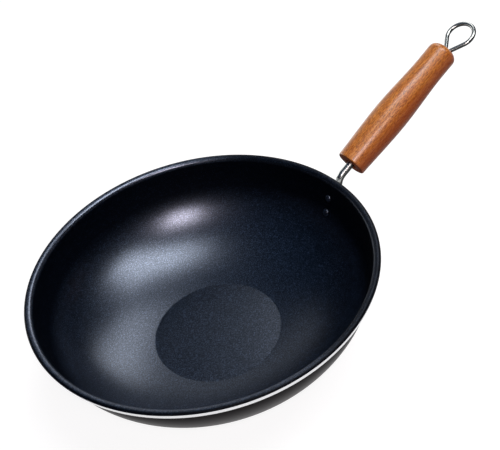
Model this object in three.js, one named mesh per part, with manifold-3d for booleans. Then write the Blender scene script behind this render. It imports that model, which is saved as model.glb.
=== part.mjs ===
// A 12 inch nonstick wok: a pressed steel bowl with a flat base, a channel bracket held by two rivets,
// a bent steel stem, a turned wooden grip and a wire loop to hang it by.
// Millimetres and degrees. +Z is up, +X runs along the handle, and the origin is the middle of the
// underside of the base.
import * as THREE from "three";
import { mergeVertices } from "three/addons/utils/BufferGeometryUtils.js";
import Module from "manifold-3d";

// Bowl
const RIM_DIAMETER = 305; // over the folded edge
const RIM_HEIGHT = 84; // top of the lip above the table
const FLOOR_DIAMETER = 116; // flat cooking floor
const FLOOR_CREASE = 10; // slope of the wall where it leaves the floor
const WALL_SLOPE = 86; // slope of the wall where the lip begins
const WALL_FULLNESS = 0.393; // how long the wall holds those two slopes, as a part of its span
const SHEET = 1.4; // thickness of the pressed steel
const LIP_WIDTH = 7; // from the end of the wall to the outside of the rim
const LIP_RISE = 4.3; // from the end of the wall to the top of the lip
const FOLD_RADIUS = 0.5; // inside of the fold at the rim
const APRON = 3.9; // straight edge that hangs below the fold
const APRON_LEAN = 18; // how far that edge is folded on past upright

// Rivets
const RIVET_DROP = 21.7; // along the wall from its end down to the middle of the pair
const RIVET_PITCH = 14.5;
const RIVET_SHANK = 4; // diameter
const RIVET_HEAD = 7; // diameter of the low dome inside the bowl
const RIVET_HEAD_HEIGHT = 1.9;
const RIVET_TAIL = 6.4; // diameter of the upset end between the channel's sides
const RIVET_TAIL_HEIGHT = 1.5;

// Bracket, a channel whose web follows the wall
const WEB = 2;
const FLANGE = 2; // thickness of each side
const FLANGE_COVER = 1; // how far the sides reach past the middle of the stem
const BRACKET_MARGIN = 8; // from a rivet's centre to the channel's end

// Stem
const STEM_DIAMETER = 7;
const STEM_RIM_GAP = 1.4; // between the stem and the rim's lower edge
const STEM_NECK = 5.4; // from beside that edge up to the corner of the bend
const STEM_REACH = 15.8; // from the corner of the bend to the grip
const BEND_RADIUS = 12;
const HANDLE_RISE = 24.8; // slope of the grip

// Grip
const GRIP_LENGTH = 138;
const GRIP_FRONT = 28.2; // diameters, from the bowl's end to the loop's end
const GRIP_BELLY = 32;
const GRIP_NECK = 27.4;
const GRIP_TAIL = 27.6;
const BELLY_AT = 58; // from the front
const TAIL_LENGTH = 21; // from the neck to the loop's end
const FRONT_ROUND = 1.6; // rounding of the end edges
const TAIL_ROUND = 6.5;
const MOUTH_GAP = 1.8; // room round the stem where it enters the wood
const MOUTH_DEPTH = 5;
const BORE_WALL = 14; // wood left between the stem's bore and the loop's

// Hanging loop and its ferrule
const WIRE = 4;
const LEG_GAP = 0.6; // between the two legs
const LEG_DEPTH = 28; // length of the legs inside the grip
const LEG_BEND = 3; // radius where a leg turns outwards
const LOOP_WIDTH = 25.4; // centre to centre across the round end
const LOOP_NECK = 7.2; // from the ferrule to the near side of the round end
const LOOP_DROP = 3.2; // how far the legs lie below the middle of the grip
const FERRULE_WALL = 1.2;
const FERRULE_SEAT = 4; // depth inside the grip
const FERRULE_PROUD = 1.2; // length that shows

const FIT = 0.3; // clearance between neighbouring pieces
const WALL_FIT = 0.4; // clearance between the faceted wall and the web on it
const SAME_POINT = 0.01; // neighbours in a profile that are closer than this are one point

// How finely the round shapes are divided
const BOWL_SIDES = 64;
const WALL_STEPS = 16;
const LIP_STEPS = 4;
const FOLD_STEPS = 5;
const RIVET_SIDES = 16;
const DOME_STEPS = 4;
const CHANNEL_STEPS = 10;
const ROD_SIDES = 14;
const STEM_STEPS = 40;
const GRIP_SIDES = 28;
const GRIP_STEPS = 14;
const ROUND_STEPS = 4;
const WIRE_SIDES = 10;
const LOOP_STEPS = 64;

const wasm = await Module();
wasm.setup();

const finish = (color, roughness, metalness) =>
  new THREE.MeshStandardMaterial({ color, roughness, metalness });
const NONSTICK = finish(0x24272f, 0.5, 0.2);
const STEEL = finish(0xc8cacc, 0.2, 1);
const DARK_STEEL = finish(0x2a2b2e, 0.4, 0.8);
const WOOD = finish(0xa9552a, 0.5, 0);

function named(name, geometry, material) {
  const mesh = new THREE.Mesh(geometry, material);
  mesh.name = name;
  return mesh;
}

// A closed geometry as a solid that can be cut.
function solidOf(geometry) {
  const bare = new THREE.BufferGeometry();
  bare.setAttribute("position", geometry.getAttribute("position"));
  bare.setIndex(geometry.index);
  const merged = mergeVertices(bare);
  const vertProperties = merged.getAttribute("position").array;
  const triVerts = new Uint32Array(merged.index.array);
  return new wasm.Manifold(new wasm.Mesh({ numProp: 3, vertProperties, triVerts }));
}

// A geometry with each of the cutters taken away.
function cut(geometry, cutters) {
  const left = cutters.reduce((body, tool) => body.subtract(solidOf(tool)), solidOf(geometry));
  const { vertProperties, triVerts } = left.getMesh();
  return new THREE.BufferGeometry()
    .setAttribute("position", new THREE.BufferAttribute(vertProperties, 3))
    .setIndex(new THREE.BufferAttribute(triVerts, 1));
}

const at = (x, y) => new THREE.Vector2(x, y);

// A profile of (radius, height) points turned about Z.
function turnedAboutZ(profile, sides) {
  return new THREE.LatheGeometry(profile, sides).rotateX(Math.PI / 2);
}

// A profile of (radius, distance) points turned about X.
function turnedAboutX(profile, sides) {
  return new THREE.LatheGeometry(profile, sides).rotateZ(-Math.PI / 2);
}

// A plain cylinder along X, for cutting a round hole from one place to another.
function drill(radius, from, to, sides) {
  const length = to - from;
  const hole = new THREE.CylinderGeometry(radius, radius, length, sides);
  return hole.rotateZ(-Math.PI / 2).translate(from + length / 2, 0, 0);
}

// A round bar along a curve.
function bar(curve, diameter, steps, sides) {
  const disc = new THREE.Shape().absarc(0, 0, diameter / 2, 0, 2 * Math.PI);
  const settings = { steps, curveSegments: sides / 2, extrudePath: curve, bevelEnabled: false };
  return new THREE.ExtrudeGeometry(disc, settings);
}

// Points of a round corner from one angle to another, both ends included.
function arcPoints(centre, radius, from, to, steps) {
  return Array.from({ length: steps + 1 }, (_, i) => {
    const angle = THREE.MathUtils.lerp(from, to, i / steps);
    return at(centre.x + radius * Math.cos(angle), centre.y + radius * Math.sin(angle));
  });
}

// The inside of the wall leaves the floor at a slight crease and is almost upright where the lip begins.
const slopeOf = (degrees) => {
  const angle = THREE.MathUtils.degToRad(degrees);
  return at(Math.cos(angle), Math.sin(angle));
};
const rimRadius = RIM_DIAMETER / 2;
const floorEdge = at(FLOOR_DIAMETER / 2, SHEET);
const wallEnd = at(rimRadius - LIP_WIDTH, RIM_HEIGHT - LIP_RISE);
const wallPull = WALL_FULLNESS * floorEdge.distanceTo(wallEnd);
const wall = new THREE.CubicBezierCurve(
  floorEdge,
  floorEdge.clone().addScaledVector(slopeOf(FLOOR_CREASE), wallPull),
  wallEnd.clone().addScaledVector(slopeOf(WALL_SLOPE), -wallPull),
  wallEnd,
);

// A place on the wall in the handle's plane, a distance down along the wall from its end: the point on
// the wall's inside, the direction straight out of the wall and the one up along it.
function onWall(down) {
  const part = 1 - down / wall.getLength();
  const point = wall.getPointAt(part);
  const slope = wall.getTangentAt(part);
  return {
    point: new THREE.Vector3(point.x, 0, point.y),
    out: new THREE.Vector3(slope.y, 0, -slope.x),
    up: new THREE.Vector3(slope.x, 0, slope.y),
  };
}

// The fold at the rim goes on a little past upright, so the straight edge below it leans inwards.
const fold = FOLD_RADIUS + SHEET;
const foldCentre = at(rimRadius - fold, RIM_HEIGHT - fold);
const apronLean = THREE.MathUtils.degToRad(APRON_LEAN);
const apronOut = at(Math.cos(apronLean), -Math.sin(apronLean));
const apronDown = at(-Math.sin(apronLean), -Math.cos(apronLean));
const apronEnd = foldCentre.clone().addScaledVector(apronOut, fold).addScaledVector(apronDown, APRON);

// The upper face of the sheet from the middle of the floor to the end of the folded edge.
function upperFace() {
  const face = [];
  const add = (point, normal) => face.push({ point, normal });
  add(at(0, SHEET), at(0, 1));
  add(floorEdge, at(0, 1));

  for (let i = 0; i <= WALL_STEPS; i++) {
    const slope = wall.getTangent(i / WALL_STEPS);
    add(wall.getPoint(i / WALL_STEPS), at(-slope.y, slope.x));
  }

  // The lip leaves along the wall and ends level at the crest, before the fold.
  const crest = at(foldCentre.x, RIM_HEIGHT);
  const wallSlope = slopeOf(WALL_SLOPE);
  const corner = wallEnd.clone().addScaledVector(wallSlope, LIP_RISE / wallSlope.y);
  const lip = new THREE.QuadraticBezierCurve(wallEnd, corner, crest);
  for (let i = 1; i <= LIP_STEPS; i++) {
    const along = lip.getTangent(i / LIP_STEPS);
    add(lip.getPoint(i / LIP_STEPS), at(-along.y, along.x));
  }

  for (const point of arcPoints(foldCentre, fold, Math.PI / 2, -apronLean, FOLD_STEPS).slice(1))
    add(point, point.clone().sub(foldCentre).normalize());
  add(apronEnd, apronOut);
  return face;
}

// The sheet's section is its upper face and the same face moved down by the sheet's thickness.
function bowlGeometry() {
  const face = upperFace();
  const lower = face.map(({ point, normal }) => point.clone().addScaledVector(normal, -SHEET));
  const upper = face.map(({ point }) => point).reverse();
  const isNew = (p, i, all) => i === 0 || p.distanceTo(all[i - 1]) > SAME_POINT;
  return turnedAboutZ([...lower, ...upper].filter(isNew), BOWL_SIDES);
}

// A rivet's axis is square to the wall, and its frame sits where that axis meets the wall's inside.
const rivetSeat = onWall(RIVET_DROP); // the middle of the pair
const rivets = {
  rivet_upper: onWall(RIVET_DROP - RIVET_PITCH / 2),
  rivet_lower: onWall(RIVET_DROP + RIVET_PITCH / 2),
};
const clamped = SHEET + WALL_FIT + WEB; // the thickness that a rivet holds together

function rivetFrame(place) {
  const square = new THREE.Quaternion().setFromUnitVectors(new THREE.Vector3(1, 0, 0), place.out);
  return new THREE.Matrix4().compose(place.point, square, new THREE.Vector3(1, 1, 1));
}

// A flattened dome that stands at a place on the axis, from its edge up to the axis.
function domeProfile(diameter, height, place) {
  const edge = arcPoints(at(0, 0), 1, 0, Math.PI / 2, DOME_STEPS).slice(0, -1);
  return [...edge.map((p) => at((p.x * diameter) / 2, place + p.y * height)), at(0, place + height)];
}

// Head inside the bowl, shank through the sheet and the web, and the upset tail outside them.
function rivetGeometry() {
  const head = domeProfile(RIVET_HEAD, -RIVET_HEAD_HEIGHT, -FIT).reverse();
  const tail = domeProfile(RIVET_TAIL, RIVET_TAIL_HEIGHT, clamped + FIT);
  const shank = [at(RIVET_SHANK / 2, -FIT), at(RIVET_SHANK / 2, clamped + FIT)];
  return turnedAboutX([...head, ...shank, ...tail], RIVET_SIDES);
}

// The hole that a rivet's shank passes, long enough for the sheet and the web.
function rivetHole(place) {
  const hole = drill(RIVET_SHANK / 2 + FIT, -clamped, 2 * clamped, RIVET_SIDES);
  return hole.applyMatrix4(rivetFrame(place));
}

// The stem runs parallel to the wall at the rivets, clear of their tails and of the rim's lower edge,
// then bends over to the slope of the grip.
const stemRadius = STEM_DIAMETER / 2;
const rimEdge = new THREE.Vector3(apronEnd.x, 0, apronEnd.y).sub(rivetSeat.point);
const clearOfRim = rimEdge.dot(rivetSeat.out) + STEM_RIM_GAP;
const clearOfTails = clamped + FIT + RIVET_TAIL_HEIGHT + FIT;
const stemOffset = Math.max(clearOfRim, clearOfTails) + stemRadius; // from the wall's inside
const onStem = (along) =>
  rivetSeat.point
    .clone()
    .addScaledVector(rivetSeat.out, stemOffset)
    .addScaledVector(rivetSeat.up, along);
const bendCorner = onStem(rimEdge.dot(rivetSeat.up) + STEM_NECK);
const handleRise = THREE.MathUtils.degToRad(HANDLE_RISE);
const handleAxis = new THREE.Vector3(Math.cos(handleRise), 0, Math.sin(handleRise));

// The channel's web follows the wall, from below the lower rivet to above the upper one.
const webOffset = SHEET + WALL_FIT; // from the wall's inside
const channelHalf = RIVET_PITCH / 2 + BRACKET_MARGIN;

class Meridian extends THREE.Curve {
  getPoint(t) {
    const place = onWall(RIVET_DROP + THREE.MathUtils.lerp(channelHalf, -channelHalf, t));
    return place.point.addScaledVector(place.out, webOffset);
  }
}

// The channel's section: the web on the wall, and a side along each flank of the stem.
function bracketGeometry() {
  const inside = Math.max(STEM_DIAMETER, RIVET_TAIL) / 2 + FIT;
  const outside = inside + FLANGE;
  const edge = stemOffset + FLANGE_COVER - webOffset;
  const half = [at(outside, 0), at(outside, edge), at(inside, edge), at(inside, WEB)];
  const mirrored = half.map((p) => at(-p.x, p.y)).reverse();
  const settings = { steps: CHANNEL_STEPS, extrudePath: new Meridian(), bevelEnabled: false };
  return new THREE.ExtrudeGeometry(new THREE.Shape([...half, ...mirrored]), settings);
}

// The stem's bore ends short of the loop's, with a wall of wood between them.
const boreDepth = GRIP_LENGTH - LEG_DEPTH - FIT - BORE_WALL;

function stemGeometry() {
  const foot = onStem(-channelHalf);
  const tangent = BEND_RADIUS * Math.tan(rivetSeat.up.angleTo(handleAxis) / 2);
  const bendStart = bendCorner.clone().addScaledVector(rivetSeat.up, -tangent);
  const bendEnd = bendCorner.clone().addScaledVector(handleAxis, tangent);
  const end = bendCorner.clone().addScaledVector(handleAxis, STEM_REACH + boreDepth - FIT);
  const path = new THREE.CurvePath();
  path.add(new THREE.LineCurve3(foot, bendStart));
  path.add(new THREE.QuadraticBezierCurve3(bendStart, bendCorner, bendEnd));
  path.add(new THREE.LineCurve3(bendEnd, end));
  return bar(path, STEM_DIAMETER, STEM_STEPS, ROD_SIDES);
}

// The ferrule and the loop's bore share the width that the two legs of the wire take.
const legOffset = (WIRE + LEG_GAP) / 2;
const legsHole = legOffset + WIRE / 2 + FIT;
const ferruleRadius = legsHole + FERRULE_WALL;

// The turned grip: rounded ends, a bore with a wider mouth for the stem, and at the other end the
// loop's bore and the ferrule's seat.
function gripGeometry() {
  const front = GRIP_FRONT / 2;
  const tail = GRIP_TAIL / 2;
  const bore = stemRadius + FIT;
  const frontCentre = at(front - FRONT_ROUND, FRONT_ROUND); // of the rounded edges
  const tailCentre = at(tail - TAIL_ROUND, GRIP_LENGTH - TAIL_ROUND);
  const outline = new THREE.SplineCurve([
    at(front, FRONT_ROUND),
    at(GRIP_BELLY / 2, BELLY_AT),
    at(GRIP_NECK / 2, GRIP_LENGTH - TAIL_LENGTH),
    at(tail, GRIP_LENGTH - TAIL_ROUND),
  ]);
  const turned = turnedAboutX(
    [
      at(0, boreDepth),
      at(bore, boreDepth),
      at(bore, MOUTH_DEPTH),
      at(bore + MOUTH_GAP, MOUTH_DEPTH),
      at(bore + MOUTH_GAP, 0),
      ...arcPoints(frontCentre, FRONT_ROUND, -Math.PI / 2, 0, ROUND_STEPS),
      ...outline.getPoints(GRIP_STEPS).slice(1, -1),
      ...arcPoints(tailCentre, TAIL_ROUND, 0, Math.PI / 2, ROUND_STEPS),
      at(0, GRIP_LENGTH),
    ],
    GRIP_SIDES,
  );
  const past = GRIP_LENGTH + FERRULE_PROUD;
  const legs = drill(legsHole, GRIP_LENGTH - LEG_DEPTH - FIT, past, GRIP_SIDES);
  const seat = drill(ferruleRadius + FIT, GRIP_LENGTH - FERRULE_SEAT - FIT, past, GRIP_SIDES);
  return cut(turned, [legs, seat].map((hole) => hole.translate(0, 0, -LOOP_DROP)));
}

function ferruleGeometry() {
  const section = [
    at(legsHole, -FERRULE_SEAT),
    at(ferruleRadius, -FERRULE_SEAT),
    at(ferruleRadius, FERRULE_PROUD),
    at(legsHole, FERRULE_PROUD),
    at(legsHole, -FERRULE_SEAT),
  ];
  return turnedAboutX(section, GRIP_SIDES);
}

// One wire: up a leg, outwards, round the end and back down the other leg. A leg's bend and the round
// end turn opposite ways, and the straight between them touches both circles.
function loopGeometry() {
  const round = LOOP_WIDTH / 2;
  const bend = at(FERRULE_PROUD, legOffset + LEG_BEND);
  const middle = at(FERRULE_PROUD + LOOP_NECK + round, 0);
  const apart = middle.clone().sub(bend);
  const slope = Math.asin((LEG_BEND + round) / apart.length()) + Math.atan2(apart.y, apart.x);
  const turn = arcPoints(bend, LEG_BEND, -Math.PI / 2, slope - Math.PI / 2, ROUND_STEPS);
  const start = Math.PI / 2 + slope;
  const outline = [
    at(-LEG_DEPTH, legOffset),
    ...turn,
    ...arcPoints(middle, round, start, -start, LOOP_STEPS / 2),
    ...turn.map((p) => at(p.x, -p.y)).reverse(),
    at(-LEG_DEPTH, -legOffset),
  ];
  const points = outline.map((p) => new THREE.Vector3(p.x, p.y, 0));
  const path = new THREE.CurvePath();
  points.slice(1).forEach((point, i) => path.add(new THREE.LineCurve3(points[i], point)));
  return bar(path, WIRE, LOOP_STEPS, WIRE_SIDES);
}

const wok = new THREE.Group();
const holes = Object.values(rivets).map(rivetHole);
wok.add(named("wok_bowl", cut(bowlGeometry(), holes), NONSTICK));
wok.add(named("handle_bracket", cut(bracketGeometry(), holes), STEEL));
wok.add(named("handle_stem", stemGeometry(), STEEL));
for (const [name, place] of Object.entries(rivets)) {
  const rivet = named(name, rivetGeometry(), DARK_STEEL);
  rivet.applyMatrix4(rivetFrame(place));
  wok.add(rivet);
}

// The handle's own frame starts at the corner of the stem's bend, with X along the grip.
const handle = new THREE.Group();
handle.position.copy(bendCorner);
handle.rotation.y = -handleRise;
const grip = named("grip", gripGeometry(), WOOD);
grip.position.x = STEM_REACH;
const handleEnd = new THREE.Group();
handleEnd.position.set(STEM_REACH + GRIP_LENGTH, 0, -LOOP_DROP);
handleEnd.add(named("loop_ferrule", ferruleGeometry(), STEEL));
handleEnd.add(named("hanging_loop", loopGeometry(), STEEL));
handle.add(grip, handleEnd);
wok.add(handle);

export default wok;
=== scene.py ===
# %% [markdown]
# # A nonstick wok with a turned wooden grip
#
# This lesson dresses a wok whose exact solids are already packed: the bowl, its rivets, the bracket, the
# stem, the grip and the hanging loop. Each piece is worked out again as a fine surface, on the same
# measurements as the solids, and gets the finish that the real one has. The first step loads the solids,
# because they fix where everything is. X runs along the handle, Z is up, and lengths are in metres.

import bmesh
import bpy
import numpy as np
from mathutils import Matrix


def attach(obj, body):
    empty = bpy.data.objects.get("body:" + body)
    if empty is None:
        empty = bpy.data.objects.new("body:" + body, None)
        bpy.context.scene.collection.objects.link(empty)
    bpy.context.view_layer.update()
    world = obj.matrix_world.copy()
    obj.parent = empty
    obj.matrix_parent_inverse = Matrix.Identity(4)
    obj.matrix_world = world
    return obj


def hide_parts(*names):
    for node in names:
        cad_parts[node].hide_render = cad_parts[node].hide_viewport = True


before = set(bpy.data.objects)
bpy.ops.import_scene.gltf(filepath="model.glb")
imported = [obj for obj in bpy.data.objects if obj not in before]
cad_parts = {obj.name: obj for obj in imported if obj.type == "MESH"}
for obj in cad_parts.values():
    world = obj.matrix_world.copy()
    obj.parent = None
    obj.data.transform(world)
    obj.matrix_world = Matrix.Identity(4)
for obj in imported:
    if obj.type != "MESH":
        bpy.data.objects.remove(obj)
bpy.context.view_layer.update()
print("solids:", ", ".join(sorted(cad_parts)))

# %% [markdown]
# ## Measurements
#
# The wok is one pressed sheet, so its whole shape follows from a few sizes: the rim, the height, the flat
# floor and the thickness of the sheet. They could be read off the loaded meshes, but a mesh only knows its
# corners. Writing the sizes down once, and working out the rest, keeps the curves exact.

# %% The bowl's sizes
MM = 0.001
RIM, HEIGHT, FLOOR = 152.5 * MM, 84 * MM, 58 * MM  # radius over the edge, height, radius of the floor
SHEET = 1.4 * MM
LIP_WIDTH, LIP_RISE = 7 * MM, 4.3 * MM
CREASE, WALL_SLOPE = np.radians([10, 86])  # slopes of the wall where it leaves the floor and where it ends
FULLNESS = 0.393  # how long the wall holds those slopes, as a part of its span
FOLD = 0.5 * MM + SHEET  # outside radius of the fold
APRON, APRON_LEAN = 3.9 * MM, np.radians(18)  # the straight edge below the fold

floor_edge = np.array([FLOOR, SHEET])
wall_end = np.array([RIM - LIP_WIDTH, HEIGHT - LIP_RISE])
fold_centre = np.array([RIM - FOLD, HEIGHT - FOLD])
apron_out = np.array([np.cos(APRON_LEAN), -np.sin(APRON_LEAN)])
apron_down = np.array([-np.sin(APRON_LEAN), -np.cos(APRON_LEAN)])


def slope(angle):
    """The direction (across, up) of a line that rises at an angle."""
    return np.array([np.cos(angle), np.sin(angle)])


def wall_curve(count):
    """Points of the wall's inside, their distances along it and its directions there.

    It is a cubic curve between the floor's edge and the end of the wall. Its two inner control points lie
    on the slopes at its ends, FULLNESS of the span away from them.
    """
    pull = FULLNESS * np.linalg.norm(wall_end - floor_edge)
    a, d = floor_edge, wall_end
    b, c = a + pull * slope(CREASE), d - pull * slope(WALL_SLOPE)
    t = np.linspace(0, 1, count)[:, None]
    points = (1 - t) ** 3 * a + 3 * t * (1 - t) ** 2 * b + 3 * t**2 * (1 - t) * c + t**3 * d
    run = (1 - t) ** 2 * (b - a) + 2 * t * (1 - t) * (c - b) + t**2 * (d - c)
    steps = np.linalg.norm(np.diff(points, axis=0), axis=1)
    return points, np.concatenate([[0], np.cumsum(steps)]), run / np.linalg.norm(run, axis=1, keepdims=True)


WALL_STEPS, WALL_ROW = 4000, 50  # fine steps along the wall, and how many make a row of the mesh
wall_points, wall_along, wall_run = wall_curve(WALL_STEPS + 1)
print(f"the wall is {wall_along[-1] / MM:.1f} mm long from the floor to the lip")

# %% [markdown]
# ## From a formula to a mesh
#
# Nearly every piece here is either turned on a lathe or a bar that is bent. Both are grids of points: one
# direction follows a profile or a path, and the other goes round. Modifiers such as Screw and Skin can make
# them too, but a grid that is worked out as one array is exact, quick and easy to check. A single function
# then makes the mesh: it joins neighbours into four-sided faces, merges the points that meet at a pole, and
# turns the faces outwards, which it tests by the sign of the volume inside.

# %% Grids, profiles and the mesh
X, Y, Z = np.eye(3)
END_STEPS = 7  # rings that round the end of a bar
SAME_POINT = 1e-7  # corners that are closer than this are one


def arc(centre, radius, start, stop, count):
    """Points of a circle from one angle to another: centre + radius * (cos, sin), both ends included."""
    a = np.linspace(start, stop, count)
    return np.asarray(centre) + radius * np.stack([np.cos(a), np.sin(a)], 1)


def turned(profile, sides, origin=np.zeros(3), axis=Z, side=X):
    """A profile of (radius, distance) turned about an axis.

    Each point is origin + distance * axis + radius * (cos a * side + sin a * third direction).
    """
    a = np.linspace(0, 2 * np.pi, sides, endpoint=False)[:, None]
    ring = np.cos(a) * side + np.sin(a) * np.cross(axis, side)
    radius, distance = profile[:, 0, None, None], profile[:, 1, None, None]
    return origin + distance * axis + radius * ring


def bar(path, flat, radius, sides, rounding):
    """A round bar along a path that lies in a plane, whose normal is flat.

    Each ring is path + radius * (cos a * flat + sin a * (tangent x flat)). At both ends the radius follows
    a quarter circle down to nothing, which rounds the edge and closes the end.
    """
    step = np.linalg.norm(np.diff(path, axis=0), axis=1)
    along = np.concatenate([[0], np.cumsum(step)])
    turn = np.linspace(0, np.pi / 2, END_STEPS)
    lead = rounding * (1 - np.cos(turn))
    inner = along[(along > rounding) & (along < along[-1] - rounding)]
    places = np.concatenate([[0], lead, inner, along[-1] - lead[::-1], along[-1:]])
    shrink = np.minimum(np.sin(turn) * rounding + radius - rounding, radius)
    width = np.concatenate([[0], shrink, np.full(len(inner), radius), shrink[::-1], [0]])
    points = np.stack([np.interp(places, along, path[:, i]) for i in range(3)], 1)
    run = np.stack([np.interp(places, along, np.gradient(path[:, i], along)) for i in range(3)], 1)
    run /= np.linalg.norm(run, axis=1, keepdims=True)
    a = np.linspace(0, 2 * np.pi, sides, endpoint=False)[:, None]
    across = np.cross(run, flat)[:, None]
    return points[:, None] + width[:, None, None] * (np.cos(a) * flat + np.sin(a) * across)


def skin(name, grid, finishes, node, bands=None, side_shade=None, loop=False):
    """One mesh object from a grid of rings, which rides on the body and replaces a solid.

    bands gives the finish of each row, the argument after it a number for each point round a ring that marks
    the sides of a bar for painted shade, and loop joins the last ring to the first.
    """
    rows, sides = grid.shape[:2]
    index = np.arange(rows * sides).reshape(rows, sides)
    index = np.concatenate([index, index[:1]]) if loop else index
    beside = np.roll(index, -1, axis=1)
    quads = np.stack([index[:-1], beside[:-1], beside[1:], index[1:]], -1)
    corners = grid.reshape(-1, 3)
    a, b, c, d = (corners[quads[..., i]] for i in range(4))
    inside = np.sum(np.cross(b - a, c - a) * a) + np.sum(np.cross(c - a, d - a) * a)
    quads = quads[..., ::-1] if inside < 0 else quads
    row_finish = np.zeros(len(quads), int) if bands is None else np.asarray(bands)[: len(quads)]
    mesh = bpy.data.meshes.new(name)
    mesh.from_pydata(corners.tolist(), [], quads.reshape(-1, 4).tolist())
    for material in finishes:
        mesh.materials.append(material)
    mesh.polygons.foreach_set("material_index", np.repeat(row_finish, sides).astype(np.int32))
    # the number round each ring marks the sides of a bar, which get painted shade
    if side_shade is not None:
        marks = np.broadcast_to(side_shade, (rows, sides)).astype(np.float32)
        mesh.attributes.new("side_shade", "FLOAT", "POINT").data.foreach_set("value", marks.ravel())
    mesh.polygons.foreach_set("use_smooth", np.ones(len(mesh.polygons), bool))
    work = bmesh.new()
    work.from_mesh(mesh)
    bmesh.ops.remove_doubles(work, verts=work.verts, dist=SAME_POINT)
    work.to_mesh(mesh)
    work.free()
    piece = bpy.data.objects.new(name, mesh)
    bpy.context.scene.collection.objects.link(piece)
    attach(piece, "root")
    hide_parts(node)
    print(f"{name}: {len(mesh.vertices)} points, {len(mesh.polygons)} faces")
    return piece


# %% [markdown]
# ## Wiring finishes
#
# A finish is a small network of nodes. Wired by hand it is hard to read, so two short classes let it be
# written as sums. A Wire is one output of a node, and adding or multiplying wires adds Math nodes. A Board
# is the network, and makes any other node from its type, its settings and what goes into its sockets.

# %% Wires and boards
class Wire:
    """One output socket. Sums with other wires or plain numbers add Math nodes to its board."""

    def __init__(self, board, socket):
        self.board, self.socket = board, socket

    def sum(self, operation, first, second):
        return self.board.node("Math", {"operation": operation}, {0: first, 1: second})

    def __add__(self, other):
        return self.sum("ADD", self, other)

    def __sub__(self, other):
        return self.sum("SUBTRACT", self, other)

    def __rsub__(self, other):
        return self.sum("SUBTRACT", other, self)

    def __mul__(self, other):
        return self.sum("MULTIPLY", self, other)

    __radd__, __rmul__ = __add__, __mul__


class Board:
    """A node network: node() adds to it, and the other methods are the few nodes that are used often."""

    def __init__(self, owner):
        owner.use_nodes = True
        self.tree = owner.node_tree
        self.tree.nodes.clear()

    def node(self, kind, settings=None, sockets=None, take=0):
        made = self.tree.nodes.new("ShaderNode" + kind)
        for name, value in (settings or {}).items():
            setattr(made, name, value)
        for name, value in (sockets or {}).items():
            if isinstance(value, Wire):
                self.tree.links.new(value.socket, made.inputs[name])
            else:
                made.inputs[name].default_value = value
        return Wire(self, made.outputs[take]) if made.outputs else None

    def place(self):
        return self.node("TexCoord", take="Object")

    def stretch(self, place, scale):
        return self.node("VectorMath", {"operation": "MULTIPLY"}, {0: place, 1: scale})

    def noise(self, place, scale, detail=2.0, roughness=0.5):
        sockets = {"Vector": place, "Scale": scale, "Detail": detail, "Roughness": roughness}
        return self.node("TexNoise", {}, sockets)

    def height(self, place):
        return self.node("SeparateXYZ", {}, {"Vector": place}, take="Z")

    def along(self, place, direction):
        """How far each place lies along a direction, in metres."""
        return self.node("VectorMath", {"operation": "DOT_PRODUCT"}, {0: place, 1: direction}, take="Value")

    def ease(self, value, low, high):
        """From 0 at the low value to 1 at the high one, level at both."""
        sockets = {"Value": value, "From Min": low, "From Max": high}
        return self.node("MapRange", {"interpolation_type": "SMOOTHSTEP"}, sockets)

    def blend(self, share, first, second):
        """The first colour with a share of the second over it."""
        return self.node("Mix", {"data_type": "RGBA"}, {0: share, 6: first, 7: second}, take=2)

    def bump(self, height, strength, distance):
        sockets = {"Height": height, "Strength": strength, "Distance": distance}
        return self.node("Bump", {}, sockets)

    def show(self, shader, output="OutputMaterial"):
        self.node(output, {}, {"Surface": shader})


def finish(name):
    """A new material and its board."""
    material = bpy.data.materials.new(name)
    return material, Board(material)


def rgb(red, green, blue):
    """A colour as it is seen, 0 to 255, in the linear numbers that sockets take."""
    seen = np.array([red, green, blue]) / 255
    linear = np.where(seen <= 0.04045, seen / 12.92, ((seen + 0.055) / 1.055) ** 2.4)
    return (*map(float, linear), 1.0)


# %% [markdown]
# ## The nonstick coating
#
# The inside of the bowl, its lip and the rivet heads are sprayed with a near-black coating that is baked
# on. It is a dark binder with metal dust in it: the binder gives the blue-black, and the dust gives soft
# silvery highlights with a fine grain. One metal with a dark colour would look like plain steel, so two
# shaders are mixed, and a noise of about a millimetre sets how much dust lies at each place. A Voronoi
# pattern picks a few of its cells as larger specks. Shade and highlights are also painted into the coat.
# The steep upper wall is mixed to a black with almost no gloss, as painted shade, while the top of the lip
# gets the full coat back and more dust, as a painted highlight along its crest. Where the lip turns
# outward, and beside the handle, it is made dark again as painted shade. So the height, the distance from
# the middle and the direction round the bowl set how much of the full coat shows.

# %% Where the painted shade and highlight lie on the coating
STEEP = 37 * MM, 57 * MM  # heights between which the full coat on the wall gives way to painted shade
LIP_TOP = 79 * MM, 83 * MM  # heights between which the full coat comes back on the lip, with a painted highlight
LIP_TURN = 149.4 * MM, 151.4 * MM  # distances from the middle between which the lip turns outward
FAR_SIDE = (-0.94, 0.34, 0)  # the direction where the lip has no painted shade, away from the handle
BESIDE_HANDLE = -85 * MM, -30 * MM  # how far along it the lip is still in painted shade, and where that shade ends
SHADED_LIP_SHARE = 0.25  # what is left of the full coat on the lip where shade is painted beside the handle


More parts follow.
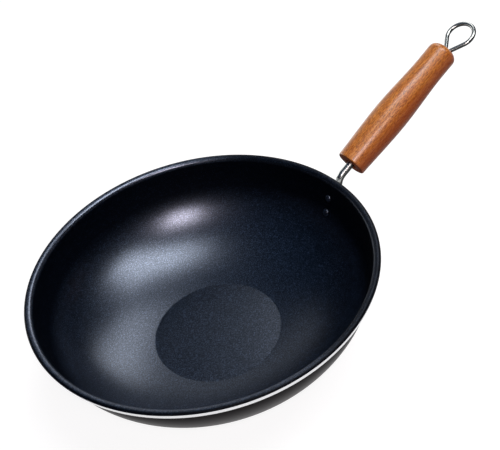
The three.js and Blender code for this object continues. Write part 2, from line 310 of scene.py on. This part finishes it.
def paint_shade_and_highlight(board, place):
    """How much of the full coat shows at each place of the bowl, and the lip's extra share. Low values paint
    shade on the steep wall, past the lip's outward turn and beside the handle, and the lip's share paints a
    highlight along its top.
    """
    height = board.height(place)
    level = board.stretch(place, (1, 1, 0))
    outward = board.node("VectorMath", {"operation": "LENGTH"}, {0: level}, take="Value")
    # beside the handle the lip keeps only part of the full coat: painted shade
    lip_unshaded = SHADED_LIP_SHARE + board.ease(board.along(place, FAR_SIDE), *BESIDE_HANDLE) * (1 - SHADED_LIP_SHARE)
    # the lip's share, which is lost past its outward turn as painted shade
    lip = board.ease(height, *LIP_TOP) * (1 - board.ease(outward, *LIP_TURN)) * lip_unshaded
    # the full coat fades out up the steep wall, which paints shade there
    return 1 - board.ease(height, *STEEP) + lip, lip


# %% Nonstick coating
GRAIN_SCALE, SPECK_SCALE, CLOUD_SCALE = 1080, 420, 22  # how many features fit in a metre
DUST = 0.107  # share of metal in the coat
LIP_HIGHLIGHT_DUST = 0.8  # how much more metal lies on the lip's top, as a painted highlight


def coating(name, rough, wall):
    """A dark binder with metal dust in it. On a wall it turns black, with almost no gloss, where shade is
    painted, and the top of the lip gets more dust as a painted highlight.
    """
    material, board = finish(name)
    place = board.place()
    # how much of the full coat shows: low where shade is painted, above 1 where the lip's highlight is
    # painted
    shade_and_highlight_cover, lip = paint_shade_and_highlight(board, place) if wall else (1.0, 0.0)
    grain = board.noise(place, GRAIN_SCALE, 2, 0.7)
    cloud = board.noise(place, CLOUD_SCALE, 3)
    cells = {"Vector": place, "Scale": SPECK_SCALE}
    pick = board.node("SeparateColor", {}, {"Color": board.node("TexVoronoi", {}, cells, take="Color")})
    near = board.node("TexVoronoi", {}, cells, take="Distance")
    speck = board.ease(pick, 0.99, 0.995) * (1 - board.ease(near, 0.1, 0.22))
    # the pale grain fades where shade is painted on the wall
    pale_grain = board.ease(grain, 0.55, 0.72) * (0.15 + shade_and_highlight_cover * 0.85)
    dark = board.blend(pale_grain, rgb(0, 2, 8), rgb(64, 84, 114))
    surface = {"Roughness": rough + (cloud - 0.5) * 0.04, "Normal": board.bump(grain, 0.12, 0.4 * MM)}
    binder = board.node("BsdfPrincipled", {}, {
        **surface,
        "Base Color": board.blend(speck * 0.8, dark, rgb(70, 76, 84)),
        "Specular IOR Level": 0.5,
        "Specular Tint": (0.74, 0.85, 1.0, 1),
    })
    metal = board.node("BsdfPrincipled", {}, {
        **surface,
        "Base Color": (0.5, 0.56, 0.72, 1),
        "Metallic": 1.0,
    })
    # the lip's extra metal is a painted highlight along its top; the grain's share is the real dust
    dust = (0.5 + board.ease(grain, 0.36, 0.64)) * (1 + lip * LIP_HIGHLIGHT_DUST)
    coat = board.node("MixShader", {}, {0: dust * DUST, 1: binder, 2: metal})
    # where less of the full coat shows, the coat goes to a black with almost no gloss: painted shade
    if wall:
        painted_shade_shader = board.node("BsdfPrincipled", {}, {
            "Base Color": dark,
            "Roughness": 0.5,
            "Specular IOR Level": 0.06,
        })
        coat = board.node("MixShader", {}, {0: shade_and_highlight_cover, 1: painted_shade_shader, 2: coat})
    board.show(coat)
    return material


nonstick = coating("nonstick_coating", 0.29, wall=True)
rivet_coating = coating("rivet_coating", 0.38, wall=False)
print("coatings:", nonstick.name, rivet_coating.name)

# %% [markdown]
# ## The bare edge and the dark outside
#
# Where the sheet is folded over at the rim the coating stops, and the bare steel shows as a bright band.
# The outside of the bowl has a dark enamel with a violet cast. Low down it is glossy, and under the rim it
# is made dull, with no reflection, as painted shade under the folded edge. Bare steel and enamel could be
# told apart by a mask inside one material, but the border between them is a row of the mesh, so giving each
# row its own material keeps the edge sharp. The change from glossy to the painted shade is a slow one, so
# there two shaders are mixed by the height.

# %% Bare steel
bare_steel, board = finish("bare_steel_edge")
place = board.place()
scratch = board.noise(board.stretch(place, (160, 160, 1500)), 1.0, 3, 0.6)
board.show(board.node("BsdfPrincipled", {}, {
    "Base Color": board.blend(scratch, rgb(206, 207, 210), rgb(236, 236, 238)),
    "Metallic": 1.0,
    "Roughness": 0.2 + scratch * 0.14,
    "Normal": board.bump(scratch, 0.08, 0.2 * MM),
}))
print("bare edge:", bare_steel.name)

# %% Enamel
SHADE_UNDER_RIM = 50 * MM, 78 * MM  # heights between which the gloss gives way to painted shade under the rim

enamel, board = finish("dark_enamel")
place = board.place()
ripple = board.noise(place, 260, 2)
cloud = board.noise(place, 16, 3)
tone = board.blend(cloud, rgb(13, 11, 13), rgb(21, 18, 20))
glossy = board.node("BsdfPrincipled", {}, {
    "Base Color": tone,
    "Roughness": 0.4 + (cloud - 0.5) * 0.1,
    "Specular IOR Level": 0.12,
    "Specular Tint": (1.0, 0.88, 1.0, 1),
    "Normal": board.bump(ripple, 0.1, 0.3 * MM),
})
# a black with no reflection, mixed in up to 85 % under the rim: painted shade
painted_shade_shader = board.node("BsdfPrincipled", {}, {"Base Color": tone, "Roughness": 0.6, "Specular IOR Level": 0.0})
rim_shade = board.ease(board.height(place), *SHADE_UNDER_RIM) * 0.85
board.show(board.node("MixShader", {}, {0: rim_shade, 1: glossy, 2: painted_shade_shader}))
print("outside:", enamel.name)

# %% [markdown]
# ## The bowl
#
# The bowl is pressed from one round sheet: a flat floor, a wall that leaves it at a slight crease and ends
# almost upright, a lip that turns outwards, and an edge that is folded down and leans in. It is turned
# about Z. Only the upper face of the sheet has to be drawn. The lower face is the same line moved by the
# thickness of the sheet, square to it, as on real sheet metal, and the cut edge between them is a half
# circle.

# %% The sheet's section
CORNER = 6 * MM  # radius of the crease
FLOOR_STEPS, CREASE_STEPS, LIP_STEPS, FOLD_STEPS, APRON_STEPS, EDGE_STEPS = 13, 6, 14, 14, 5, 8
BARE_FOLD = 5  # rows of the fold that are bare steel, as the apron is
BOWL_SIDES = 320
crease_reach = CORNER * np.tan(CREASE / 2)


def upper_face():
    """Points and upward normals of the sheet's upper face, from the axis to the end of the folded edge.

    The floor is a level line, the crease is an arc, the wall is its cubic curve, the lip is a quadratic
    curve that leaves along the wall and ends level, the fold is an arc, and the apron is a straight line.
    """
    across = np.linspace(0, FLOOR - crease_reach, FLOOR_STEPS, endpoint=False)
    floor = np.stack([across, np.full(FLOOR_STEPS, SHEET)], 1)
    corner = FLOOR - crease_reach, SHEET + CORNER
    crease = arc(corner, CORNER, -np.pi / 2, CREASE - np.pi / 2, CREASE_STEPS)
    wall = wall_points[::WALL_ROW][wall_along[::WALL_ROW] > 1.5 * crease_reach]
    crest = np.array([fold_centre[0], HEIGHT])
    bend = wall_end + LIP_RISE / np.sin(WALL_SLOPE) * slope(WALL_SLOPE)
    t = np.linspace(0, 1, LIP_STEPS + 1)[1:, None]
    lip = (1 - t) ** 2 * wall_end + 2 * t * (1 - t) * bend + t**2 * crest
    fold = arc(fold_centre, FOLD, np.pi / 2, -APRON_LEAN, FOLD_STEPS)[1:]
    apron = fold[-1] + np.linspace(0, APRON - SHEET / 2, APRON_STEPS + 1)[1:, None] * apron_down
    points = np.concatenate([floor, crease, wall, lip, fold, apron])
    run = np.gradient(points, axis=0)
    normal = np.stack([-run[:, 1], run[:, 0]], 1)
    normal[: len(floor)] = 0, 1
    bare = len(apron) + BARE_FOLD
    kinds = np.repeat([0, 1], [len(points) - bare, bare])
    return points, normal / np.linalg.norm(normal, axis=1, keepdims=True), kinds


face, normal, kinds = upper_face()
under = face - SHEET * normal
middle = (face[-1] + under[-1]) / 2
out = np.arctan2(*(face[-1] - middle)[::-1])
edge = arc(middle, SHEET / 2, out, out - np.pi, EDGE_STEPS)[1:-1]
section = np.concatenate([face, edge, under[::-1]])
bands = np.concatenate([kinds, np.full(len(edge) + len(under), 2)])
bowl_grid = turned(section, BOWL_SIDES)
skin("bowl", bowl_grid, [nonstick, bare_steel, enamel], "wok_bowl", bands)

# %% [markdown]
# ## The handle's frame
#
# The handle has its own line: it leaves the bracket along the wall, bends over the rim and then rises at a
# steady slope. Working out two points and two directions once lets every piece of it be drawn in its own
# simple frame, along the handle, and put in place by them.

# %% Rivets, stem line and grip line
RIVET_DROP, RIVET_PITCH = 21.7 * MM, 14.5 * MM  # along the wall from its end
WEB, WALL_FIT, FIT = 2 * MM, 0.4 * MM, 0.3 * MM  # the bracket's web, and the gaps by the wall and elsewhere
TAIL_HEIGHT = 1.5 * MM  # of a rivet
STEM = 7 / 2 * MM  # radius
STEM_RIM_GAP, STEM_NECK, STEM_REACH = 1.4 * MM, 5.4 * MM, 15.8 * MM
RISE = np.radians(24.8)


def on_wall(down):
    """A place on the wall in the handle's plane, a distance down along the wall from its end.

    It gives the point on the wall's inside, the direction straight out of the wall and the one up along it.
    """
    at = wall_along[-1] - down
    x, z = (np.interp(at, wall_along, wall_points[:, i]) for i in range(2))
    dx, dz = (np.interp(at, wall_along, wall_run[:, i]) for i in range(2))
    return np.array([x, 0, z]), np.array([dz, 0, -dx]), np.array([dx, 0, dz])


seat, wall_out, wall_up = on_wall(RIVET_DROP)  # the middle of the pair of rivets
apron_end = fold_centre + FOLD * apron_out + APRON * apron_down
rim_edge = np.array([apron_end[0], 0, apron_end[1]]) - seat
clamped = SHEET + WALL_FIT + WEB
clear_of_rim = rim_edge @ wall_out + STEM_RIM_GAP
stem_offset = max(clear_of_rim, clamped + FIT + TAIL_HEIGHT + FIT) + STEM
on_wall_line = seat + stem_offset * wall_out
bend = on_wall_line + (rim_edge @ wall_up + STEM_NECK) * wall_up
along = np.array([np.cos(RISE), 0, np.sin(RISE)])  # the handle's direction
over = np.array([-np.sin(RISE), 0, np.cos(RISE)])  # square to it, upwards
print("the stem bends at", (bend / MM).round(1), "mm")

# %% [markdown]
# ## Bright plated steel
#
# The stem, the loop and its ferrule are plated steel, polished until they mirror the room. The sides of each
# bar are painted a dark grey, as painted shade and dark reflection. Which side is which can't be told from a
# place alone on a bar that bends, so the mesh carries a number for it as an attribute. A mirror with nothing
# on it looks drawn, so a noise stretched along the handle adds the faint lines of polishing, and a large
# soft one makes the gloss uneven. The bracket has the same finish, only duller.

# %% Bright and plain steel
def in_handle(board):
    """Places in the handle's own frame, with the first direction along it."""
    sockets = {"Vector": board.place(), "Location": tuple(bend), "Rotation": (0, -float(RISE), 0)}
    return board.node("Mapping", {"vector_type": "TEXTURE"}, sockets)


def steel(name, dark, bright, gloss, lines):
    """A metal between two colours, with polishing lines, painted dark grey as shade on the sides that the
    mesh marks.
    """
    material, board = finish(name)
    place = in_handle(board)
    polish = board.noise(board.stretch(place, (90, 2600, 2600)), 1.0, 3, 0.6)
    cloud = board.noise(place, 120, 2)
    # the marked sides of a bar are blended to a dark grey: painted shade and dark reflection
    side_shade = board.node("Attribute", {"attribute_name": "side_shade"}, take="Fac")
    tone = board.blend(board.ease(side_shade, 0.4, 0.85), board.blend(cloud, dark, bright), rgb(44, 46, 46))
    board.show(board.node("BsdfPrincipled", {}, {
        "Base Color": tone,
        "Metallic": 1.0,
        "Roughness": gloss + (cloud - 0.5) * 0.06 + (polish - 0.5) * 0.08,
        "Normal": board.bump(polish, lines, 0.1 * MM),
    }))
    return material


bright_steel = steel("bright_plated_steel", rgb(184, 187, 184), rgb(214, 216, 212), 0.26, 0.1)
plain_steel = steel("plain_plated_steel", rgb(150, 152, 154), rgb(184, 185, 186), 0.3, 0.12)
print("steels:", bright_steel.name, plain_steel.name)

# %% [markdown]
# ## Rivets and bracket
#
# Two rivets hold the handle. Their low domes are inside the bowl, under the same coating as the wall, and
# their other ends are upset against a pressed channel outside. A rivet is turned about its own axis, which
# stands square to the wall. The channel is a U-shaped section carried along the wall, so it is a grid too.

# %% Rivets
HEAD, DOME, SHOULDER = 3.5 * MM, 1.85 * MM, 0.35 * MM  # radius, height of the dome and of its foot
TAIL = 3.2 * MM  # radius of the upset end
SHANK = np.array([[3.5, -0.1], [3.3, 0], [2, 0], [2, 3.9], [3.1, 3.9], [3.2, 4]]) * MM  # radius, distance
COATED = 2  # points of the shank's line that belong to the head's foot
DOME_STEPS, RIVET_SIDES = 12, 40


def rivet(name, node, down):
    """Domes of half an ellipse at both ends of a shank: radius = R cos t, height = H sin t."""
    t = np.linspace(0, np.pi / 2, DOME_STEPS)
    head = np.stack([HEAD * np.sin(t), -SHOULDER - DOME * np.cos(t)], 1)
    tail = np.stack([TAIL * np.cos(t), clamped + FIT + TAIL_HEIGHT * np.sin(t)], 1)
    profile = np.concatenate([head, SHANK, tail])
    origin, outwards, _ = on_wall(down)
    grid = turned(profile, RIVET_SIDES, origin, outwards, Y)
    bands = np.where(np.arange(len(profile)) < len(head) + COATED, 0, 1)
    skin(name, grid, [rivet_coating, plain_steel], node, bands)


rivet("upper_rivet", "rivet_upper", RIVET_DROP - RIVET_PITCH / 2)
rivet("lower_rivet", "rivet_lower", RIVET_DROP + RIVET_PITCH / 2)

# %% Bracket
FLANGE, FLANGE_COVER = 2 * MM, 1 * MM  # thickness of a side, and how far it passes the stem's middle
MARGIN = 8 * MM  # from a rivet to the channel's end
CHANNEL_STEPS, CHANNEL_CORNER = 24, 6
SOFT_EDGE, SHARP = 0.35 * MM, np.radians(50)  # width of a softened edge, and which edges are sharp


def rounded(points, radius, count):
    """A closed outline with its corners rounded.

    Each corner becomes a quadratic curve between the points on its sides that lie radius away from it.
    """
    before, after = np.roll(points, 1, axis=0), np.roll(points, -1, axis=0)
    reach = np.asarray(radius)[:, None]
    enter = points + reach * (before - points) / np.linalg.norm(before - points, axis=1, keepdims=True)
    leave = points + reach * (after - points) / np.linalg.norm(after - points, axis=1, keepdims=True)
    t = np.linspace(0, 1, count)[None, :, None]
    curve = (1 - t) ** 2 * enter[:, None] + 2 * t * (1 - t) * points[:, None] + t**2 * leave[:, None]
    return curve.reshape(-1, 2)


channel_half = RIVET_PITCH / 2 + MARGIN
inside, outside = STEM + FIT, STEM + FIT + FLANGE
top = stem_offset + FLANGE_COVER - SHEET - WALL_FIT
u = np.array([[outside, 0], [outside, top], [inside, top], [inside, WEB],
              [-inside, WEB], [-inside, top], [-outside, top], [-outside, 0]])
outline = rounded(u, np.array([1.8, 0.6, 0.6, 1, 1, 0.6, 0.6, 1.8]) * MM, CHANNEL_CORNER)


def channel(down):
    """The outline standing on the wall, a distance down: wall point + x * Y + height * outwards."""
    point, outwards, _ = on_wall(down)
    foot = point + (SHEET + WALL_FIT) * outwards
    return foot + outline[:, :1] * Y + outline[:, 1:] * outwards


downs = RIVET_DROP + np.linspace(channel_half, -channel_half, CHANNEL_STEPS)
rings = np.stack([channel(down) for down in downs])
bracket = skin("bracket", rings, [plain_steel], "handle_bracket")
ends = bmesh.new()
ends.from_mesh(bracket.data)
bmesh.ops.holes_fill(ends, edges=[e for e in ends.edges if e.is_boundary], sides=0)
bmesh.ops.recalc_face_normals(ends, faces=ends.faces)
ends.to_mesh(bracket.data)
ends.free()
soften = bracket.modifiers.new("soft edges", "BEVEL")
soften.width, soften.segments, soften.limit_method = SOFT_EDGE, 3, "ANGLE"
soften.angle_limit = SHARP
print("bracket outline:", len(outline), "points")

# %% [markdown]
# ## The stem
#
# The stem is a steel bar that is welded between the sides of the channel, runs up along the wall, and bends
# over the rim into the grip. Its path lies in one plane, so the rings of the bar need no care about twist.

# %% Stem
GRIP = 138 * MM
BEND_RADIUS, LEG_DEPTH, BORE_WALL = 12 * MM, 28 * MM, 14 * MM  # BORE_WALL is the wood between the bores
STEM_STEPS, STEM_SIDES, STEM_ROUND = 33, 48, 0.8 * MM
bore_depth = GRIP - LEG_DEPTH - FIT - BORE_WALL

reach = BEND_RADIUS * np.tan(np.arccos(wall_up @ along) / 2)
foot = on_wall_line - channel_half * wall_up
t = np.linspace(0, 1, STEM_STEPS)[:, None]
enter, leave = bend - reach * wall_up, bend + reach * along
low = foot + t[::2] * (enter - foot)
turn = (1 - t) ** 2 * enter + 2 * t * (1 - t) * bend + t**2 * leave
high = bend + (reach + t[::2] * (STEM_REACH + bore_depth - FIT - reach)) * along
stem_path = np.concatenate([low, turn[1:], high[1:]])
# the stem's sides are marked for painted shade
side_shade = np.cos(np.linspace(0, 2 * np.pi, STEM_SIDES, endpoint=False)) ** 4
stem_bar = bar(stem_path, Y, STEM, STEM_SIDES, STEM_ROUND)
skin("stem", stem_bar, [bright_steel], "handle_stem", side_shade=side_shade)

# %% [markdown]
# ## Stained wood
#
# The grip is turned from a plain hardwood, stained orange-brown and varnished. Its fibres run along the
# grip, and short flecks and dark pores lie between them. Each is a noise that is stretched along the handle,
# in the grip's own frame. The varnish coat lies on the upper side, where the light falls, so its sheen shows
# there. The lower side has no coat, and its colour is painted darker and redder there as painted shade. The
# varnish is a clear coat, so its weight can change from place to place, which the gloss of the wood
# underneath could not do as well. The front end is sawn across the fibres: it drinks the stain and stays
# matt, so it has a finish of its own.

# %% Wood
UPPER_SIDE = (0, 0.75, 0.66)  # the direction that the lit, varnished side faces
LIT_SIDE_EDGE = -11 * MM, 1 * MM  # how far along it the coat is gone and the painted shade is full, and where the coat is whole

wood, board = finish("stained_wood")
place = in_handle(board)
shade = board.noise(board.stretch(place, (18, 110, 110)), 1.0, 2)
fibre = board.noise(board.stretch(place, (60, 620, 620)), 1.0, 3, 0.6)
fleck = board.noise(board.stretch(place, (330, 1150, 1150)), 1.0, 2, 0.6)
pore = board.ease(board.noise(board.stretch(place, (250, 1700, 1700)), 1.0, 2, 0.5), 0.54, 0.65)
tint = board.blend(board.ease(fibre, 0.3, 0.7), rgb(188, 106, 38), rgb(222, 142, 64))
tint = board.blend(board.ease(shade, 0.35, 0.65) * 0.4, tint, rgb(204, 114, 42))
tint = board.blend(board.ease(fleck, 0.5, 0.68) * 0.6, tint, rgb(112, 46, 10))
tint = board.blend(board.ease(fleck, 0.5, 0.34) * 0.5, tint, rgb(236, 160, 80))
tint = board.blend(pore * 0.65, tint, rgb(78, 30, 7))
# 1 on the lit upper side, which takes the coat; below it the colour is painted darker as shade
lit_side = board.ease(board.along(place, UPPER_SIDE), *LIT_SIDE_EDGE)
tint = board.blend((1 - lit_side) * 0.8, tint, rgb(140, 54, 9))
board.show(board.node("BsdfPrincipled", {}, {
    "Base Color": tint,
    "Roughness": 0.36 + (fibre - 0.5) * 0.12 + pore * 0.2,
    "Specular IOR Level": 0.12,
    "Coat Weight": lit_side,
    "Coat Roughness": 0.3,
    "Coat IOR": 1.65,
    "Normal": board.bump(fibre - pore - fleck * 0.6, 0.3, 0.3 * MM),
}))
print("grip:", wood.name)

# %% End grain
end_grain, board = finish("end_grain")
place = board.place()
open_pore = board.ease(board.noise(place, 1500, 2, 0.6), 0.45, 0.7)
board.show(board.node("BsdfPrincipled", {}, {
    "Base Color": board.blend(open_pore, rgb(142, 70, 38), rgb(84, 38, 20)),
    "Roughness": 0.8,
    "Specular IOR Level": 0.1,
    "Normal": board.bump(open_pore, 0.3, -0.3 * MM),
}))
print("front end:", end_grain.name)

# %% [markdown]
# ## The grip
#
# The grip swells to a belly, draws in to a neck and ends in a rounded tail. It is turned about the handle's
# line, so its profile is a smooth curve through a few measured diameters, with rounded ends and the stem's
# bore. A spline through the points could overshoot between them, so a cubic with even slopes is used.

# %% Grip
FRONT, BELLY, NECK, END = 14.1 * MM, 16 * MM, 13.7 * MM, 13.8 * MM  # radii from the bowl's end to the loop's
BELLY_AT, NECK_AT = 58 * MM, GRIP - 21 * MM
FRONT_ROUND, END_ROUND, MOUTH_ROUND = 1.6 * MM, 6.5 * MM, 0.5 * MM
MOUTH_GAP, MOUTH_DEPTH = 1.8 * MM, 5 * MM  # room round the stem where it enters the wood
MOUTH_STEPS, FRONT_STEPS, BODY_STEPS, ROUND_STEPS, GRIP_SIDES = 5, 9, 70, 16, 96
SAWN = 4  # rows of the front rounding that are end grain
FLAT = 3 * MM  # radius of the last ring on the flat end


def smooth_through(places, values, count):
    """A cubic curve through points, whose slope at each is that of the line between its neighbours."""
    rise = np.gradient(values, places)
    x = np.linspace(places[0], places[-1], count)
    i = np.clip(np.searchsorted(places, x, "right") - 1, 0, len(places) - 2)
    width = places[i + 1] - places[i]
    t = (x - places[i]) / width
    start = (1 + 2 * t) * (1 - t) ** 2 * values[i] + t * (1 - t) ** 2 * width * rise[i]
    stop = t**2 * (3 - 2 * t) * values[i + 1] + t**2 * (t - 1) * width * rise[i + 1]
    return np.stack([start + stop, x], 1)


grip_origin = bend + STEM_REACH * along
bore = STEM + FIT
hole = np.array([[0, bore_depth], [bore, bore_depth], [bore, MOUTH_DEPTH], [bore + MOUTH_GAP, MOUTH_DEPTH]])
corner = bore + MOUTH_GAP + MOUTH_ROUND, MOUTH_ROUND
mouth = arc(corner, MOUTH_ROUND, np.pi, 1.5 * np.pi, MOUTH_STEPS)
front = arc((FRONT - FRONT_ROUND, FRONT_ROUND), FRONT_ROUND, -np.pi / 2, 0, FRONT_STEPS)
places = np.array([FRONT_ROUND, BELLY_AT, NECK_AT, GRIP - END_ROUND])
body = smooth_through(places, np.array([FRONT, BELLY, NECK, END]), BODY_STEPS)[1:-1]
tail = arc((END - END_ROUND, GRIP - END_ROUND), END_ROUND, 0, np.pi / 2, ROUND_STEPS)
flat_end = np.array([[FLAT, GRIP], [0, GRIP]])
grip_profile = np.concatenate([hole, mouth, front, body, tail, flat_end])
bands = np.where(np.arange(len(grip_profile)) < len(hole) + len(mouth) + SAWN, 1, 0)
grip_grid = turned(grip_profile, GRIP_SIDES, grip_origin, along, Y)
skin("wood_grip", grip_grid, [wood, end_grain], "grip", bands)

# %% [markdown]
# ## The hanging loop
#
# One wire makes the loop: up a leg, outwards, round the end and back down. A short ferrule on the end of
# the grip keeps the two legs together. The straight stretches touch both the small bends and the round end,
# so the angle where they meet follows from the two radii and the distance between the circles' centres.

# %% Loop
WIRE, LEG_GAP, LEG_BEND = 2 * MM, 0.6 * MM, 3 * MM  # radius of the wire, between the legs, radius of a bend
LOOP, LOOP_NECK, LOOP_DROP = 12.7 * MM, 7.2 * MM, 3.2 * MM  # radius, before it, below the grip's middle
PROUD = 1.2 * MM  # how much of the ferrule shows
LEG_STEPS, LOOP_STEPS, WIRE_SIDES, WIRE_ROUND = 12, 60, 32, 0.4 * MM

leg = WIRE + LEG_GAP / 2
end_origin = grip_origin + GRIP * along - LOOP_DROP * over
small = np.array([PROUD, leg + LEG_BEND])
large = np.array([PROUD + LOOP_NECK + LOOP, 0])
gap = large - small
splay = np.arcsin((LEG_BEND + LOOP) / np.hypot(*gap)) + np.arctan2(gap[1], gap[0])
leg_line = np.stack([np.linspace(-LEG_DEPTH, PROUD, LEG_STEPS), np.full(LEG_STEPS, leg)], 1)
leg_turn = arc(small, LEG_BEND, -np.pi / 2, splay - np.pi / 2, LEG_STEPS)[1:]
half = arc(large, LOOP, np.pi / 2 + splay, 0, LOOP_STEPS)
straight = leg_turn[-1] + np.linspace(0, 1, LEG_STEPS)[1:-1, None] * (half[0] - leg_turn[-1])
one_side = np.concatenate([leg_line, leg_turn, straight, half])
other_side = (one_side * [1, -1])[::-1][1:]
flat_path = np.concatenate([one_side, other_side])
loop_path = end_origin + flat_path[:, :1] * along + flat_path[:, 1:] * Y
# the loop's sides are marked for painted shade
side_shade = np.sin(np.linspace(0, 2 * np.pi, WIRE_SIDES, endpoint=False)) ** 2
loop_bar = bar(loop_path, over, WIRE, WIRE_SIDES, WIRE_ROUND)
skin("loop", loop_bar, [bright_steel], "hanging_loop", side_shade=side_shade)

# %% Ferrule
SEAT, FERRULE_WALL, FERRULE_ROUND = 4 * MM, 1.2 * MM, 0.35 * MM  # SEAT is its depth in the wood
FERRULE_SIDES, FERRULE_CORNER = 64, 7

ring_in, ring_out = leg + WIRE + FIT, leg + WIRE + FIT + FERRULE_WALL
ring_box = np.array([[ring_in, -SEAT], [ring_out, -SEAT], [ring_out, PROUD], [ring_in, PROUD]])
ring_section = rounded(ring_box, np.full(4, FERRULE_ROUND), FERRULE_CORNER)
ferrule_grid = turned(ring_section, FERRULE_SIDES, end_origin, along, Y)
skin("ferrule", ferrule_grid, [bright_steel], "loop_ferrule", loop=True)

# %% [markdown]
# ## Floor, lamps and room
#
# The wok stands on a white table in a dark room. What the coating shows is the lamps: one beside the camera
# and one overhead make the two soft streaks on the far wall, and a window behind the handle makes the grey
# patch at the left. A low window lights the side of the grip and stays hidden from the bowl behind its rim.
# The directions follow from the mirror law at the places where the highlights lie. The table is grey to the
# light and glows only for the camera and for reflections, so it looks white and still shows the shadow. The
# room behind it is white to the camera, and reflections see the foot of it.

# %% Floor
REACH, GAP = 30, 0.4 * MM  # half the table's width, and how far it lies below the wok
WHITE = (1, 1, 1, 1)

white_table, board = finish("white_table")
straight_on = board.node("LightPath", take="Is Camera Ray")
mirror = board.node("LightPath", take="Is Glossy Ray")
glass = board.node("LightPath", take="Is Transmission Ray")
seen = board.node("Math", {"operation": "ADD", "use_clamp": True}, {0: straight_on + mirror, 1: glass})
diffuse = board.node("BsdfDiffuse", {}, {"Color": (0.3, 0.3, 0.3, 1)})
glow = board.node("Emission", {}, {"Color": WHITE, "Strength": seen * 0.85})
board.show(board.node("AddShader", {}, {0: diffuse, 1: glow}))
table_mesh = bpy.data.meshes.new("table")
table_corners = [(-REACH, -REACH, 0), (REACH, -REACH, 0), (REACH, REACH, 0), (-REACH, REACH, 0)]
table_mesh.from_pydata(table_corners, [], [(0, 1, 2, 3)])
table_mesh.materials.append(white_table)
table = bpy.data.objects.new("table", table_mesh)
table.location.z = -GAP
bpy.context.scene.collection.objects.link(table)
print("floor:", table.name)

# %% Lamps
LAMP_DISTANCE = 1.9
AIM = np.array([0.03, 0.0, 0.05])


def lamp(name, direction, size, power, colour=(1, 1, 1)):
    """An area lamp of size (width, height) that faces the wok from a direction (elevation, azimuth)."""
    tilt, turn = np.radians(direction)
    away = np.array([np.cos(tilt) * np.cos(turn), np.cos(tilt) * np.sin(turn), np.sin(tilt)])
    level = np.cross(Z, away) / np.linalg.norm(np.cross(Z, away))
    light = bpy.data.lights.new(name, "AREA")
    light.shape, light.size, light.size_y, light.energy = "RECTANGLE", *size, power
    light.color = colour
    thing = bpy.data.objects.new(name, light)
    columns = np.stack([level, np.cross(away, level), away, AIM + LAMP_DISTANCE * away], 1)
    thing.matrix_world = Matrix([*columns.tolist(), [0, 0, 0, 1]])
    bpy.context.scene.collection.objects.link(thing)
    print(f"{name}: {power} W at {LAMP_DISTANCE} m")


lamp("camera_lamp", (46, -112), (0.5, 0.52), 14.5, (1, 0.86, 0.86))
lamp("ceiling_lamp", (70, -37), (0.62, 1.5), 18.5)
lamp("side_panel", (64, -5), (0.3, 0.3), 1.1)
lamp("window", (41, 39), (0.6, 1.24), 6.6)
lamp("low_window", (23, 72), (1.0, 0.95), 1.3)
lamp("side_window", (4.5, 100), (1.2, 0.28), 4.5)

# %% Room
WALLS, CEILING = (0.003, 0.006, 0.011, 1), (0.024, 0.056, 0.104, 1)
CEILING_FROM = 0.25, 1.1  # upward parts of a direction between which the ceiling takes over
BACKDROP_TO = 0.02, 0.1  # and between which the foot of the backdrop ends

room = bpy.data.worlds.new("room")
bpy.context.scene.world = room
board = Board(room)
upward = board.height(board.node("TexCoord", take="Generated"))
tone = board.blend(board.ease(upward, *CEILING_FROM), WALLS, CEILING)
straight_on = board.node("LightPath", take="Is Camera Ray")
mirror = board.node("LightPath", take="Is Glossy Ray")
glass = board.node("LightPath", take="Is Transmission Ray")
backdrop = straight_on + (mirror + glass) * (1 - board.ease(upward, *BACKDROP_TO))
tone = board.blend(backdrop, tone, WHITE)
board.show(board.node("Background", {}, {"Color": tone}), "OutputWorld")
print("room:", room.name)

# %% [markdown]
# ## Camera
#
# The camera looks down at the bowl from the front, turned so that the handle points up and to the right.
# Its place is given as turns round the wok, a distance, a small step aside and a roll, so each can be read.
# A matrix copied from the viewport would do the same, but nobody could tell what its numbers mean.

# %% Camera
TURN, TILT, ROLL = np.radians([29.2, 40.98, -12.79])
DISTANCE, ASIDE, ABOVE = 0.81629, 0.04941, 0.08747
SENSOR, LENS = 36, 64.8  # millimetres

right = np.array([np.cos(TURN), -np.sin(TURN), 0])
back = np.array([-np.sin(TURN) * np.cos(TILT), -np.cos(TURN) * np.cos(TILT), np.sin(TILT)])
above = np.cross(back, right)
columns = [
    np.cos(ROLL) * right + np.sin(ROLL) * above,
    np.cos(ROLL) * above - np.sin(ROLL) * right,
    back,
    DISTANCE * back + ASIDE * right + ABOVE * above,
]
lens = bpy.data.cameras.new("camera")
lens.sensor_width, lens.lens = SENSOR, LENS
camera = bpy.data.objects.new("camera", lens)
camera.matrix_world = Matrix([*np.stack(columns, 1).tolist(), [0, 0, 0, 1]])
bpy.context.scene.collection.objects.link(camera)
bpy.context.scene.camera = camera
bpy.context.scene.view_settings.view_transform = "Standard"
print(f"camera: {LENS} mm, {np.degrees(TILT):.0f} degrees down")
